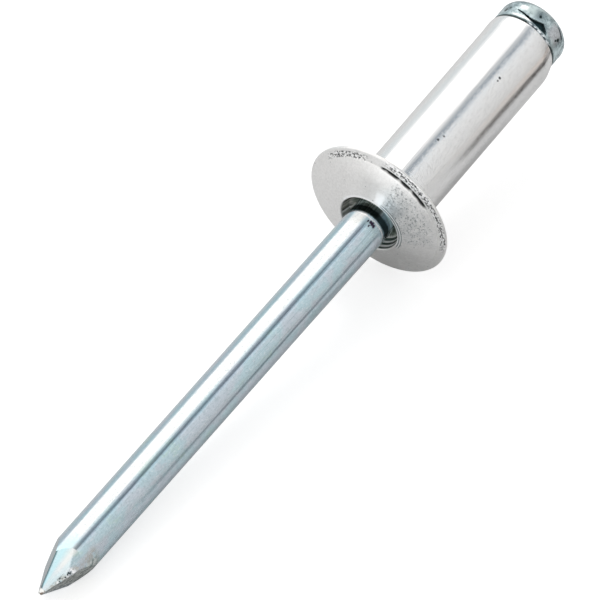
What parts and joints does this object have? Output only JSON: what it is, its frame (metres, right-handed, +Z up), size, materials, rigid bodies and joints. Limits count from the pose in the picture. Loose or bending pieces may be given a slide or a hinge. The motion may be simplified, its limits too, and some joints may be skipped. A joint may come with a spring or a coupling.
{
  "type": "pop rivet",
  "caption": "Open-end blind rivet with a domed aluminium flange and a zinc-plated steel mandrel, unset, lying on its side.",
  "frame": {"origin": "middle of the rivet's box, on the surface that it lies on", "axes": "+X along the rivet from the mandrel's point towards its head, +Z up; the rivet's own axis rises 5.91 degrees towards the head, because the flange's rim holds it up"},
  "size_m": [0.045, 0.008, 0.008],
  "materials": {
    "aluminium_body": "cold-formed, tumbled satin",
    "zinc_plated_steel": "bright bluish zinc plating on drawn wire"
  },
  "bodies": {
    "root": {"rivet_body": "aluminium_body", "mandrel": "zinc_plated_steel"}
  },
  "joints": []
}
